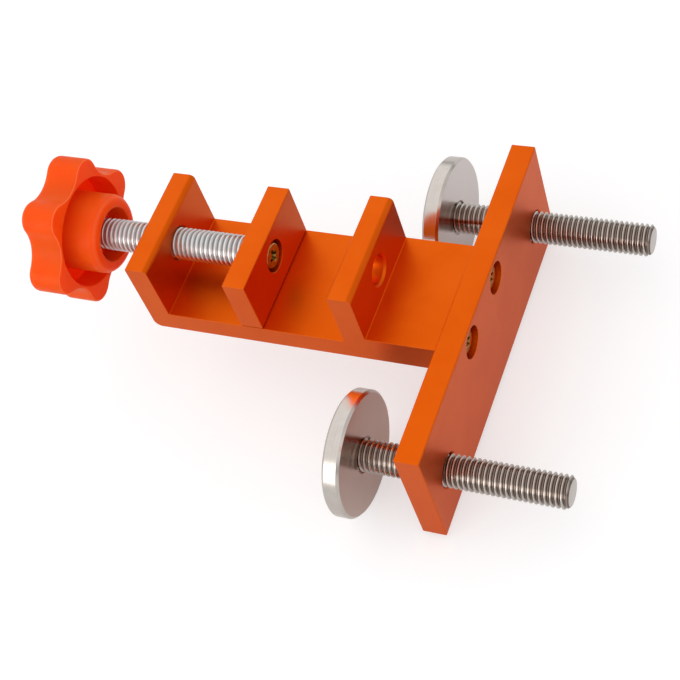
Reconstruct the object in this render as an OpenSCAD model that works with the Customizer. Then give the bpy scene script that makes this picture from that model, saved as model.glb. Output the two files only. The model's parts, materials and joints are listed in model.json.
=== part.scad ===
// Cabinet door mounting jig: a screw clamp that grips a cabinet rail, carrying a
// cross plate with two adjustable feet that hold a door at the height to be set.
// Millimetres. +X runs from the knob to the cross plate, +Y along the cross plate
// and +Z up the clamp's walls. The origin is where the spindle's axis meets the
// fixed wall's clamping face.

/* [Clamp body] */
// Width of the clamp body, and of the movable jaw
body_w = 30; // [24:0.5:36]
// Clear length between the end wall and the fixed wall
channel_len = 46.4; // [40:0.1:60]
// Thickness of the end wall and of the fixed wall
wall_t = 5.7; // [4.5:0.1:8]
// Height of the two walls above the channel's floor
wall_h = 16.7; // [15:0.1:22]
// Thickness of the channel's floor
floor_t = 5.8; // [4:0.1:8]
// How much higher the seat behind the fixed wall is than the channel's floor
seat_step = 2.2; // [1:0.1:3]
// Length of the seat, from the fixed wall to the cross plate
seat_len = 17.5; // [15:0.5:30]
// Height of the spindle's axis above the channel's floor
axis_h = 8.9; // [8:0.1:10]
// Radius of the round along the top edge of each wall's back face
wall_round_r = 1.3; // [0.3:0.1:2]
// Radius of the round along the other top edges of the walls
top_round_r = 0.4; // [0.2:0.1:0.6]
// Radius of the round along the body's lower outer edge
heel_round_r = 2; // [0.5:0.1:3]
// Radius of the fillets where the walls meet the floor
root_fillet_r = 0.5; // [0.3:0.1:1]
// Radius of the plain hole through the fixed wall
pass_hole_r = 3.6; // [2.5:0.1:4.5]
// Chamfer of the plain hole, on the wall's back face
pass_hole_chamfer = 0.5; // [0.2:0.1:1]

/* [Movable jaw] */
// Thickness of the movable jaw
jaw_t = 5.8; // [5.4:0.1:8]
// Height of the movable jaw
jaw_h = 15.3; // [14:0.1:16]
// Gap under the jaw, to the channel's floor
jaw_floor_gap = 0.4; // [0.3:0.1:0.8]
// Opening between the movable jaw and the fixed wall, as drawn
jaw_opening = 20.9; // [16:0.1:25]
// Thickness of the jaw left behind the counterbore
jaw_web_t = 2.7; // [2.2:0.1:2.9]
// Radius of the counterbore for the jaw screw
jaw_cbore_r = 4.25; // [4.1:0.05:5]
// Chamfer along the edges of the jaw's two large faces
jaw_chamfer = 0.3; // [0.1:0.1:0.6]
// Chamfer at the mouth of the counterbore
jaw_cbore_chamfer = 0.1; // [0.1:0.1:0.5]

/* [Threads] */
// Outer radius of the large threads, of the spindle and of the studs
thread_r = 3.92; // [3.8:0.01:4.2]
// Pitch of the large threads
pitch = 1.25; // [1:0.05:1.5]
// Depth of the large threads
thread_depth = 0.65; // [0.3:0.05:0.8]
// Radial running clearance of the large threads in their holes
thread_clearance = 0.08; // [0.03:0.01:0.1]
// Chamfer at the free ends of the large threads
end_chamfer = 0.8; // [0.4:0.1:1.2]
// Chamfer where a large thread ends in a journal's shoulder
shoulder_chamfer = 0.3; // [0.1:0.05:0.4]
// Chamfer at both ends of their threaded holes
thread_hole_chamfer = 0.4; // [0.1:0.1:0.8]

/* [Spindle] */
// Threaded length of the spindle, from the knob's back wall to the jaw
spindle_len = 51.25; // [46:0.05:62]
// Radius of the journal on which the jaw turns
journal_r = 3; // [2.6:0.05:3.2]
// Radial running clearance between a journal and its bore
journal_clearance = 0.05; // [0.02:0.01:0.1]
// Play of the jaw along the journal, at each of its two faces
end_play = 0.05; // [0.02:0.01:0.15]

/* [Knob] */
// Number of lobes on the knob
lobe_count = 6; // [5:1:8]
// Radius of the knob at a lobe's tip
lobe_tip_r = 18.7; // [17:0.1:24]
// Radius of a lobe's own round
lobe_r = 4.5; // [4:0.1:5.5]
// Radius of the knob at the bottom of a valley between two lobes
valley_r = 14.6; // [14:0.1:15]
// Thickness of the star
star_t = 9.5; // [8:0.5:14]
// Round along the star's edge on the hand's side
star_back_round = 2; // [0.5:0.1:3]
// Round along the star's edge on the clamp's side
star_front_round = 0.9; // [0.3:0.1:1.5]
// Wall between the valleys and the ring-shaped groove
groove_wall = 0.95; // [0.8:0.05:2]
// Thickness of the knob's back behind the groove and the insert
knob_back_t = 2.5; // [1.5:0.1:4]
// Radius of the hub
hub_r = 9.75; // [9:0.05:11]
// How far the hub stands out of the star
hub_proud = 6.4; // [4:0.1:8]
// Round along the hub's front edge
hub_round = 2; // [0.5:0.1:2.5]
// Radius of the hub's recess round the spindle
hub_recess_r = 6.7; // [6.3:0.1:7.5]
// Depth of that recess
hub_recess_depth = 6; // [3:0.5:8]
// Radius of the metal insert moulded into the hub
insert_r = 6; // [5:0.1:6.2]

/* [Cross plate] */
// Length of the cross plate
plate_len = 90; // [80:1:140]
// Height of the cross plate
plate_h = 31; // [28:1:45]
// Thickness of the cross plate
plate_t = 6; // [5:0.5:10]
// How far the plate's top edge stands above the seat
plate_proud = 1.55; // [0:0.05:4]
// Chamfer along the edges of the plate's two large faces
plate_chamfer = 0.3; // [0.1:0.1:0.8]
// Distance from each foot's axis to the plate's nearer end
foot_inset = 9.9; // [7:0.1:14]
// Depth of the feet's axes below the plate's top edge
foot_drop = 18.3; // [14:0.1:20]
// Distance from each plate screw to the nearer side of the clamp body
plate_screw_inset = 5.8; // [5:0.1:8]
// Depth of the plate screws below the plate's top edge
plate_screw_drop = 4.95; // [4.2:0.05:6]
// Radius of the plate screws' counterbores
plate_cbore_r = 3.9; // [3.7:0.05:4.2]
// Thickness of the plate left under a plate screw's head
plate_web_t = 2.6; // [1.2:0.1:3]

/* [Feet] */
// Radius of a foot's disc
disc_r = 15; // [10:0.5:18]
// Thickness of a foot's disc
disc_t = 4.2; // [3:0.05:6]
// Chamfer round a disc's two edges
disc_chamfer = 0.6; // [0.1:0.1:0.8]
// Radius of the recess in a disc round its stud
disc_recess_r = 4.4; // [4.3:0.1:7]
// Depth of that recess
disc_recess_depth = 0.8; // [0.3:0.1:1.5]
// Length of a foot, over its disc and stud
foot_len = 53.35; // [40:0.05:80]
// Gap between the near disc and the cross plate, as drawn
near_foot_gap = 14.6; // [5:0.1:25]
// Gap between the far disc and the cross plate, as drawn
far_foot_gap = 13.95; // [5:0.1:25]

/* [Small screws] */
// Radius of a small screw's shank
screw_r = 1.95; // [1.5:0.05:2]
// Radial clearance of a small screw in its tapped hole
tap_clearance = 0.05; // [0.02:0.01:0.1]
// Radial clearance of a plate screw in the cross plate
screw_hole_clearance = 0.2; // [0.1:0.05:0.4]
// Radius of a small screw's head
screw_head_r = 3.5; // [3:0.05:3.6]
// Height of a small screw's head
screw_head_h = 2.2; // [1.8:0.1:2.4]
// Length of a plate screw's shank
plate_screw_len = 15; // [8:0.5:18]
// Length of the jaw screw's shank
jaw_screw_len = 12; // [8:0.5:16]
// How much deeper a tapped hole is than its screw
tap_spare = 1; // [0.5:0.1:2]
// Thickness of the jaw washer
washer_t = 0.5; // [0.4:0.1:0.8]
// Radial gap between the jaw washer and its counterbore
washer_gap = 0.25; // [0.1:0.05:0.4]
// Width of the slots of a screw head's cross
cross_slot_w = 0.9; // [0.6:0.1:1.2]
// Length of the slots of a screw head's cross
cross_slot_len = 4.2; // [3:0.1:5]
// Depth of a screw head's cross
cross_depth = 1.2; // [0.6:0.1:1.6]

/* [Hidden] */
$fn = 96;
// How far every cut runs past the surface that it opens
overrun = 0.5;
// How far the star's round blank stands outside the lobes' tips
blank_margin = 0.1;
// How much larger a valley's arc is than one that only touches the lobes
arc_overlap = 0.1;
// Flat crest and flank of a thread, as shares of its pitch
crest_share = 0.14;
flank_share = 0.36;

// Heights, with the spindle's axis at zero
floor_z = -axis_h;
wall_top_z = floor_z + wall_h;
seat_z = floor_z + seat_step;
base_z = floor_z - floor_t;
plate_top_z = seat_z + plate_proud;
foot_z = plate_top_z - foot_drop;
plate_screw_z = plate_top_z - plate_screw_drop;

// Distances of the feet and of the plate screws from the middle plane
foot_y = plate_len / 2 - foot_inset;
plate_screw_y = body_w / 2 - plate_screw_inset;

// Places along X, with the fixed wall's clamping face at zero
end_wall_x = -channel_len - wall_t;
seat_x = wall_t;
plate_x = seat_x + seat_len;
plate_out_x = plate_x + plate_t;
jaw_x = -jaw_opening - jaw_t;

// The holes round the threads and journals, and what clamps the jaw's web
thread_hole_r = thread_r + thread_clearance;
journal_bore_r = journal_r + journal_clearance;
washer_r = jaw_cbore_r - washer_gap;
shoulder_x = jaw_x - end_play;
journal_end_x = jaw_x + jaw_web_t + end_play;
screw_seat_x = journal_end_x + washer_t;
tap_r = screw_r + tap_clearance;

// The knob, from the spindle's end inside its back wall
groove_floor_x = shoulder_x - spindle_len;
knob_back_x = groove_floor_x - knob_back_t;
star_front_x = knob_back_x + star_t;
hub_front_x = star_front_x + hub_proud;
insert_front_x = hub_front_x - hub_recess_depth;
groove_r = valley_r - groove_wall;
lobe_centre_r = lobe_tip_r - lobe_r;
half_step = 180 / lobe_count;
// A valley's arc meets the two lobes beside it all but smoothly: past the radius
// at which it would only touch them, it runs a little way into both
valley_reach = lobe_centre_r * cos(half_step);
valley_round_r = (lobe_centre_r ^ 2 + valley_r ^ 2 - 2 * valley_r * valley_reach - lobe_r ^ 2)
               / (2 * (lobe_r + valley_reach - valley_r)) + arc_overlap;
valley_centre_r = valley_r + valley_round_r;

// A square corner less its round, to cut off an edge or to fill a root.
// The corner is at the origin and the round lies towards +X and +Y.
module corner_piece(r) {
    difference() {
        translate([-overrun, -overrun]) square(r + overrun);
        translate([r, r]) circle(r);
    }
}

// A box from its lowest to its highest corner
module box(low, high) {
    translate(low) cube(high - low);
}

// A cylinder along X, from one place to another
module bar(x0, x1, r0, r1) {
    translate([x0, 0, 0]) rotate([0, 90, 0]) cylinder(h = x1 - x0, r1 = r0, r2 = r1);
}

// A hole along X with a chamfer at its far end
module pass_hole(x0, x1, r, chamfer) {
    bar(x0 - overrun, x1 + overrun, r, r);
    bar(x1 - chamfer, x1 + overrun, r, r + chamfer + overrun);
}

// A hole along X for a large thread, with a chamfer at both ends
module threaded_hole(x0, x1) {
    pass_hole(x0, x1, thread_hole_r, thread_hole_chamfer);
    bar(x0 - overrun, x0 + thread_hole_chamfer, thread_hole_r + thread_hole_chamfer + overrun, thread_hole_r);
}

// A profile of radius against length, turned round the X axis from x0
module turned(x0) {
    translate([x0, 0, 0]) rotate([0, 90, 0]) rotate_extrude() children();
}

// The edge of a row of thread ridges: root, then the crest's two corners, each turn
function ridge_edge(turns, root_r) =
    [for (turn = [0 : turns - 1],
          at = [[root_r, 0],
                [thread_r, flank_share * pitch],
                [thread_r, (flank_share + crest_share) * pitch]])
        [at[0], turn * pitch + at[1]]];

// A threaded rod along X, from one place to another, with a chamfer at each end
module threaded_rod(x0, x1, chamfer0, chamfer1) {
    length = x1 - x0;
    turns = ceil(length / pitch);
    turned(x0) intersection() {
        polygon(concat([[0, 0]], ridge_edge(turns, thread_r - thread_depth),
                       [[thread_r - thread_depth, turns * pitch], [0, turns * pitch]]));
        polygon([[0, 0], [thread_r - chamfer0, 0], [thread_r, chamfer0],
                 [thread_r, length - chamfer1], [thread_r - chamfer1, length], [0, length]]);
    }
}

// A small screw whose head's underside is at x, shank towards -X
module small_screw(x, shank_len) {
    difference() {
        union() {
            bar(x - shank_len, x, screw_r, screw_r);
            turned(x) difference() {
                square([screw_head_r, screw_head_h]);
                translate([screw_head_r, screw_head_h]) rotate(180) corner_piece(screw_head_h / 2);
            }
        }
        for (turn = [0, 90]) rotate([turn, 0, 0])
            box([x + screw_head_h - cross_depth, -cross_slot_w / 2, -cross_slot_len / 2],
                [x + screw_head_h + overrun, cross_slot_w / 2, cross_slot_len / 2]);
    }
}

// Side view of the clamp body: floor, seat and two walls, with its rounds
module body_profile() {
    difference() {
        union() {
            translate([end_wall_x, base_z]) square([plate_x - end_wall_x, floor_t]);
            translate([0, base_z]) square([plate_x, floor_t + seat_step]);
            for (x = [end_wall_x, 0])
                translate([x, base_z]) square([wall_t, wall_top_z - base_z]);
            translate([end_wall_x + wall_t, floor_z]) corner_piece(root_fillet_r);
            translate([0, floor_z]) mirror([1, 0]) corner_piece(root_fillet_r);
            translate([seat_x, seat_z]) corner_piece(root_fillet_r);
        }
        for (x = [end_wall_x, 0]) {
            translate([x, wall_top_z]) mirror([0, 1]) corner_piece(top_round_r);
            translate([x + wall_t, wall_top_z]) rotate(180) corner_piece(wall_round_r);
        }
        translate([end_wall_x, base_z]) corner_piece(heel_round_r);
    }
}

module clamp_body() {
    color("chocolate") difference() {
        rotate([90, 0, 0]) linear_extrude(body_w, center = true) body_profile();
        threaded_hole(end_wall_x, end_wall_x + wall_t);
        pass_hole(0, wall_t, pass_hole_r, pass_hole_chamfer);
        for (side = [-1, 1]) translate([0, side * plate_screw_y, plate_screw_z])
            bar(plate_x + plate_web_t - plate_screw_len - tap_spare, plate_x + overrun, tap_r, tap_r);
    }
}

// A rectangle with its four corners cut off
function cut_corners(low, high, cut) = [
    [low[0] + cut, low[1]], [high[0] - cut, low[1]], [high[0], low[1] + cut], [high[0], high[1] - cut],
    [high[0] - cut, high[1]], [low[0] + cut, high[1]], [low[0], high[1] - cut], [low[0], low[1] + cut]];

// A box whose two large faces, square to X, have chamfered edges
module chamfered_box(low, high, cut) {
    intersection() {
        translate([0, 0, low[2]]) linear_extrude(high[2] - low[2])
            polygon(cut_corners([low[0], low[1]], [high[0], high[1]], cut));
        translate([0, high[1], 0]) rotate([90, 0, 0]) linear_extrude(high[1] - low[1])
            polygon(cut_corners([low[0], low[2]], [high[0], high[2]], cut));
    }
}

module cross_plate() {
    color("chocolate") difference() {
        chamfered_box([plate_x, -plate_len / 2, plate_top_z - plate_h],
                      [plate_out_x, plate_len / 2, plate_top_z], plate_chamfer);
        for (side = [-1, 1]) {
            translate([0, side * foot_y, foot_z])
                threaded_hole(plate_x, plate_out_x);
            translate([0, side * plate_screw_y, plate_screw_z]) {
                bar(plate_x - overrun, plate_out_x, screw_r + screw_hole_clearance,
                    screw_r + screw_hole_clearance);
                bar(plate_x + plate_web_t, plate_out_x + overrun, plate_cbore_r, plate_cbore_r);
            }
        }
    }
}

module plate_screw(side) {
    color("goldenrod") translate([0, side * plate_screw_y, plate_screw_z])
        small_screw(plate_x + plate_web_t, plate_screw_len);
}

module plate_screw_near() { plate_screw(-1); }

module plate_screw_far() { plate_screw(1); }

module movable_jaw() {
    cbore_x = jaw_x + jaw_web_t;
    color("chocolate") difference() {
        chamfered_box([jaw_x, -body_w / 2, floor_z + jaw_floor_gap],
                      [jaw_x + jaw_t, body_w / 2, floor_z + jaw_floor_gap + jaw_h], jaw_chamfer);
        bar(jaw_x - overrun, cbore_x + overrun, journal_bore_r, journal_bore_r);
        bar(cbore_x, jaw_x + jaw_t + overrun, jaw_cbore_r, jaw_cbore_r);
        bar(jaw_x + jaw_t - jaw_cbore_chamfer, jaw_x + jaw_t + overrun,
            jaw_cbore_r, jaw_cbore_r + jaw_cbore_chamfer + overrun);
    }
}

module spindle() {
    color("silver") difference() {
        union() {
            threaded_rod(groove_floor_x, shoulder_x, end_chamfer, shoulder_chamfer);
            bar(shoulder_x - end_chamfer, journal_end_x, journal_r, journal_r);
        }
        bar(screw_seat_x - jaw_screw_len - tap_spare, journal_end_x + overrun, tap_r, tap_r);
    }
}

module jaw_screw() {
    color("goldenrod") small_screw(screw_seat_x, jaw_screw_len);
}

module jaw_washer() {
    color("silver") difference() {
        bar(journal_end_x, screw_seat_x, washer_r, washer_r);
        bar(journal_end_x - overrun, screw_seat_x + overrun, tap_r, tap_r);
    }
}

// Outline of the star: lobes joined by valleys
module star_outline() {
    difference() {
        polygon([for (lobe = [0 : lobe_count - 1], at = [[lobe_centre_r, 0], [valley_centre_r, 1]])
            at[0] * [cos((2 * lobe + at[1]) * half_step), sin((2 * lobe + at[1]) * half_step)]]);
        for (lobe = [0 : lobe_count - 1]) rotate((2 * lobe + 1) * half_step)
            translate([valley_centre_r, 0]) circle(valley_round_r);
    }
    for (lobe = [0 : lobe_count - 1]) rotate(2 * lobe * half_step)
        translate([lobe_centre_r, 0]) circle(lobe_r);
}

// Round blank that gives the lobes' tips their rounded edges. It stands a little
// outside the tips, so that it meets them only at those edges.
module star_blank() {
    blank_r = lobe_tip_r + blank_margin;
    turned(knob_back_x) difference() {
        square([blank_r, star_t]);
        translate([blank_r, 0]) mirror([1, 0]) corner_piece(star_back_round + blank_margin);
        translate([blank_r, star_t]) rotate(180) corner_piece(star_front_round + blank_margin);
    }
}

module knob() {
    color("orangered") difference() {
        union() {
            difference() {
                intersection() {
                    translate([knob_back_x, 0, 0]) rotate([90, 0, 90])
                        linear_extrude(star_t) star_outline();
                    star_blank();
                }
                bar(groove_floor_x, star_front_x + overrun, groove_r, groove_r);
            }
            turned(knob_back_x) difference() {
                translate([0, star_back_round]) square([hub_r, hub_front_x - knob_back_x - star_back_round]);
                translate([hub_r, hub_front_x - knob_back_x]) rotate(180) corner_piece(hub_round);
            }
        }
        bar(groove_floor_x, hub_front_x, insert_r, insert_r);
        bar(insert_front_x, hub_front_x + overrun, hub_recess_r, hub_recess_r);
    }
}

module knob_insert() {
    color("peru") difference() {
        bar(groove_floor_x, insert_front_x, insert_r, insert_r);
        bar(groove_floor_x - overrun, insert_front_x + overrun, thread_hole_r, thread_hole_r);
    }
}

// Where a foot's disc starts, for a gap between the disc and the cross plate
function disc_x(gap) = plate_x - gap - disc_t;

module foot_disc(side, gap) {
    color("gainsboro") translate([disc_x(gap), side * foot_y, foot_z]) turned(0) polygon([
        [journal_bore_r, 0], [disc_r - disc_chamfer, 0], [disc_r, disc_chamfer],
        [disc_r, disc_t - disc_chamfer], [disc_r - disc_chamfer, disc_t],
        [disc_recess_r, disc_t], [disc_recess_r, disc_t - disc_recess_depth],
        [journal_bore_r, disc_t - disc_recess_depth]]);
}

module foot_stud(side, gap) {
    shoulder = disc_t - disc_recess_depth + end_play;
    color("silver") translate([disc_x(gap), side * foot_y, foot_z]) {
        threaded_rod(shoulder, foot_len, shoulder_chamfer, end_chamfer);
        bar(end_play, shoulder + end_chamfer, journal_r, journal_r);
    }
}

module near_disc() { foot_disc(-1, near_foot_gap); }

module near_stud() { foot_stud(-1, near_foot_gap); }

module far_disc() { foot_disc(1, far_foot_gap); }

module far_stud() { foot_stud(1, far_foot_gap); }

clamp_body();
cross_plate();
plate_screw_near();
plate_screw_far();
movable_jaw();
spindle();
jaw_screw();
jaw_washer();
knob();
knob_insert();
near_disc();
near_stud();
far_disc();
far_stud();
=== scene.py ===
import json
from contextlib import contextmanager
from math import acos, cos, pi, radians, sin, tan

import bmesh
import bpy
from mathutils import Matrix, Vector

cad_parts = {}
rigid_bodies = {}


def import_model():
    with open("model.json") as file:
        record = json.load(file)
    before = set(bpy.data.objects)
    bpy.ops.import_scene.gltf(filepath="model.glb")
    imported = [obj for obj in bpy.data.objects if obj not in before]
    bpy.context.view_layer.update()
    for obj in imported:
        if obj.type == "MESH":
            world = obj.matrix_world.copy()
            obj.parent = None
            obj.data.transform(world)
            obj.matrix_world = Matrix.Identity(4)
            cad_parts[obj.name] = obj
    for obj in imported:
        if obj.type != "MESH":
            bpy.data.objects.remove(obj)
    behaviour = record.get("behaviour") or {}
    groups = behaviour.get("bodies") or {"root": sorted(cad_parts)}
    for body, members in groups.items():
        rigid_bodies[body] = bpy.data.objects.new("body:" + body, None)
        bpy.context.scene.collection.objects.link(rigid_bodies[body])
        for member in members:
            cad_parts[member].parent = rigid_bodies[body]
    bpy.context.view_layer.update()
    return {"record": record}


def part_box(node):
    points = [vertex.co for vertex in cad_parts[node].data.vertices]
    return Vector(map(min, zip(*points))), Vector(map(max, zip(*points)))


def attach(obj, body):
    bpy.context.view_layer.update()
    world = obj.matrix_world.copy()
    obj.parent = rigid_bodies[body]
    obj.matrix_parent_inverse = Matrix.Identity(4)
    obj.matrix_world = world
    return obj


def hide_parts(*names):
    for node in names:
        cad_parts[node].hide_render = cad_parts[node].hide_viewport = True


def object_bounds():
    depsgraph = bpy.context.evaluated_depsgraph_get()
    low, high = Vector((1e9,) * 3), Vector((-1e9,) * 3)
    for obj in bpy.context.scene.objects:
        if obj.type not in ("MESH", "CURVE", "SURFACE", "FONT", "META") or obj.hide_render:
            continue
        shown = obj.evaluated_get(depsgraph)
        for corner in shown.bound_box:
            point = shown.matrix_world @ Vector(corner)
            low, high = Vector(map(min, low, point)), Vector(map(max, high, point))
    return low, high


for leftover in list(bpy.data.objects):
    bpy.data.objects.remove(leftover)
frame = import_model()
record = frame["record"]

MM = 0.001
# Two places closer than this are the same place
TOUCH = 0.002 * MM
# Corners closer than this become one, and one this close to a plane is on it
MERGE = TOUCH / 10
# How far a cutter runs past the surface that it opens
OVERRUN = 0.5 * MM
# Edges with a larger angle than this, in degrees, are drawn sharp, and those of threads,
# screws and the knob
SHARP_ANGLE = 30
FINE_SHARP_ANGLE = 35

# Sizes that the boxes of the frame don't give
WALL_T = 5.7 * MM
FLOOR_T = 5.8 * MM
SEAT_STEP = 2.2 * MM
HEEL_ROUND = 2 * MM
WALL_BACK_ROUND = 1.3 * MM
WALL_TOP_ROUND = 0.4 * MM
ROOT_FILLET = 0.22 * MM
EDGE_BREAK = 0.16 * MM
THREAD_HOLE_R = 4 * MM
THREAD_HOLE_CHAMFER = 0.4 * MM
DRIVER_HOLE_R = 3.6 * MM
DRIVER_HOLE_CHAMFER = 0.5 * MM
TAP_R = 2 * MM
SCREW_PASS_R = 2.15 * MM
PLATE_CBORE_R = 3.9 * MM
PLATE_WEB_T = 2.6 * MM
CBORE_CHAMFER = 0.12 * MM
JAW_WEB_T = 2.7 * MM
JAW_CBORE_R = 4.0 * MM
JAW_CBORE_CHAMFER = 0.1 * MM
JAW_FLOOR_GAP = 0.18 * MM
WASHER_GAP = 0.15 * MM
WASHER_ROUND = 0.1 * MM
FACE_CHAMFER = 0.3 * MM

# Large threads, and the journals at their ends
THREAD_R = 3.92 * MM
THREAD_DEPTH = 0.65 * MM
PITCH = 1.25 * MM
# The slope of a thread's flank, half the angle of its groove
FLANK = radians(30)
# Turns of thread made before and past a rod, and cut off again
SPARE_TURNS = 2
SPINDLE_CREST = 0.5 * MM
SPINDLE_DEPTH = 0.5 * MM
STUD_CREST = 0.16 * MM
JOURNAL_R = 3 * MM
JOURNAL_BORE_R = 3.05 * MM
JOURNAL_LEN = 2.8 * MM
END_CHAMFER = 0.8 * MM
SHOULDER_CHAMFER = 0.3 * MM

# Feet
DISC_CHAMFER = 0.6 * MM
DISC_EDGE_ROUND = 0.05 * MM
DISC_RECESS_R = 4.4 * MM
DISC_RECESS_DEPTH = 0.8 * MM

# Small screws
SCREW_HEAD_R = 3.5 * MM
SCREW_HEAD_H = 2.2 * MM
SCREW_SEAT_ROUND = 0.15 * MM
SCREW_SHANK_R = 1.95 * MM
SCREW_THREAD_DEPTH = 0.35 * MM
SCREW_PITCH = 0.7 * MM
SCREW_CREST = 0.1 * MM
SHANK_SUNK = 0.1 * MM
CROWN_R = 2.95 * MM
CROWN_ROUND = 0.45 * MM
SHOULDER_ROUND = 0.4 * MM
CROSS_LEN = 4.4 * MM
CROSS_W = 0.95 * MM
CROSS_DEPTH = 1.25 * MM
# The floor of a cross slot, as shares of the width and length of its mouth
CROSS_FLOOR_W = 0.75
CROSS_FLOOR_LEN = 0.4
CROSS_CORE_R = 1.05 * MM
CROSS_CORE_END_R = 0.4 * MM

# Knob
LOBES = 6
LOBE_TIP_R = 18.7 * MM
LOBE_R = 4.5 * MM
VALLEY_R = 14.6 * MM
STAR_T = 9.5 * MM
STAR_BACK_ROUND = 2 * MM
STAR_FRONT_ROUND = 0.6 * MM
GROOVE_R = 13.65 * MM
GROOVE_MOUTH_ROUND = 0.25 * MM
GROOVE_ROOT_FILLET = 0.6 * MM
KNOB_BACK_T = 2.5 * MM
HUB_R = 9.75 * MM
HUB_ROUND = 2 * MM
# The fillet at the hub's foot, and how far the foot reaches out below the groove's floor
HUB_FOOT_FILLET = 0.8 * MM
HUB_FOOT_REACH = 1.5 * MM
HUB_RECESS_R = 6.7 * MM
HUB_RECESS_DEPTH = 6 * MM
HUB_RECESS_ROUND = 0.35 * MM
INSERT_R = 6 * MM
INSERT_ROUND = 0.2 * MM
BACK_DISH_R = 9 * MM
BACK_DISH_DEPTH = 0.4 * MM


# Selecting and editing

def deselect():
    for thing in bpy.context.view_layer.objects:
        thing.select_set(False)


def activate(piece):
    deselect()
    piece.select_set(True)
    bpy.context.view_layer.objects.active = piece


@contextmanager
def editing(piece):
    activate(piece)
    bpy.ops.object.mode_set(mode="EDIT")
    bpy.ops.mesh.select_mode(type="VERT")
    bpy.ops.mesh.select_all(action="SELECT")
    yield
    bpy.ops.object.mode_set(mode="OBJECT")


def pick(piece, kind, test):
    """Selects the piece's edges or faces that pass the test, in edit mode."""
    bpy.ops.mesh.select_mode(type={"edges": "EDGE", "faces": "FACE"}[kind])
    bpy.ops.mesh.select_all(action="DESELECT")
    work = bmesh.from_edit_mesh(piece.data)
    for part in getattr(work, kind):
        if test(part):
            part.select_set(True)
    bmesh.update_edit_mesh(piece.data)


def at(**place):
    """A test that all corners of an edge or a face lie at the given x, y or z."""
    return lambda part: all(
        abs(getattr(corner.co, axis) - value) < TOUCH
        for corner in part.verts for axis, value in place.items())


def bevel(piece, test, width, segments=1):
    pick(piece, "edges", test)
    bpy.ops.mesh.bevel(offset=width, segments=segments, affect="EDGES", profile=0.5,
                       clamp_overlap=True)


def raise_faces(piece, z, x0, x1, height):
    """Extrudes the faces at a height, between two places along X, upward."""
    level = at(z=z)
    pick(piece, "faces", lambda face: level(face) and x0 < face.calc_center_median().x < x1)
    bpy.ops.mesh.extrude_region_move(TRANSFORM_OT_translate={"value": (0, 0, height)})


def apply_modifier(piece, kind, **settings):
    activate(piece)
    modifier = piece.modifiers.new(kind.title(), kind)
    for name, value in settings.items():
        setattr(modifier, name, value)
    bpy.ops.object.modifier_apply(modifier=modifier.name)


def combine(piece, tool, operation):
    """Cuts, joins or intersects the piece with a tool, which is used up."""
    apply_modifier(piece, "BOOLEAN", operation=operation, object=tool, solver="EXACT")
    bpy.data.objects.remove(tool)


def cut(piece, tool):
    combine(piece, tool, "DIFFERENCE")


def smooth(piece, angle=SHARP_ANGLE):
    activate(piece)
    bpy.ops.object.shade_smooth_by_angle(angle=radians(angle))
    apply_modifier(piece, "WEIGHTED_NORMAL", mode="FACE_AREA", weight=100, keep_sharp=True)


def copied(piece, name, shift):
    """A copy with its own mesh, moved along."""
    twin = piece.copy()
    twin.data = piece.data.copy()
    twin.name = name
    bpy.context.scene.collection.objects.link(twin)
    twin.data.transform(Matrix.Translation(shift))
    return twin


# Shapes

def bar(name, low, high):
    """A rectangular bar between two corners."""
    deselect()
    size = high - low
    bpy.ops.mesh.primitive_cube_add(size=1, location=(low + high) / 2, scale=size)
    piece = bpy.context.object
    piece.name = name
    bpy.ops.object.transform_apply(location=True, rotation=True, scale=True)
    return piece


def arc_corner(before, corner, after, radius, steps):
    """The points of a round at a corner between two straight runs."""
    back = (Vector(before) - Vector(corner)).normalized()
    ahead = (Vector(after) - Vector(corner)).normalized()
    half = acos(max(-1, min(1, back.dot(ahead)))) / 2
    middle = Vector(corner) + (back + ahead).normalized() * radius / sin(half)
    start = Vector(corner) + back * radius / tan(half) - middle
    end = Vector(corner) + ahead * radius / tan(half) - middle
    sweep = start.angle_signed(end)
    return [middle + Matrix.Rotation(-sweep * step / steps, 2) @ start
            for step in range(steps + 1)]


def rounded(corners, closed=False, steps=6):
    """A line through corners, each a length, a radius and, where it is round, its round."""
    points = []
    for index, corner in enumerate(corners):
        place = Vector(corner[:2])
        inside = closed or 0 < index < len(corners) - 1
        if len(corner) > 2 and inside:
            before = corners[index - 1][:2]
            after = corners[(index + 1) % len(corners)][:2]
            points += arc_corner(before, place, after, corner[2], steps)
        else:
            points.append(place)
    return points


def drawn_line(name, places):
    """A line through places, drawn by extruding one vertex."""
    deselect()
    bpy.ops.mesh.primitive_plane_add(size=MM, location=(0, 0, 0))
    piece = bpy.context.object
    piece.name = name
    with editing(piece):
        bpy.ops.mesh.merge(type="CENTER")
        bpy.ops.transform.translate(value=places[0])
        for start, end in zip(places, places[1:]):
            bpy.ops.mesh.extrude_region_move(TRANSFORM_OT_translate={"value": end - start})
    return piece


def turned(name, corners, axis_place=(0, 0), closed=False, steps=96):
    """A solid turned round an axis along X. A closed outline gives a ring."""
    points = rounded(corners, closed)
    if closed:
        points.append(points[0])
    y, z = axis_place
    piece = drawn_line(name, [Vector((x, y + r, z)) for x, r in points])
    with editing(piece):
        bpy.ops.mesh.remove_doubles(threshold=MERGE)
        bpy.ops.mesh.select_all(action="SELECT")
        bpy.ops.mesh.spin(steps=steps, angle=2 * pi, center=(0, y, z), axis=(1, 0, 0))
        bpy.ops.mesh.select_all(action="SELECT")
        bpy.ops.mesh.remove_doubles(threshold=MERGE)
        bpy.ops.mesh.normals_make_consistent(inside=False)
    return piece


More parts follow.
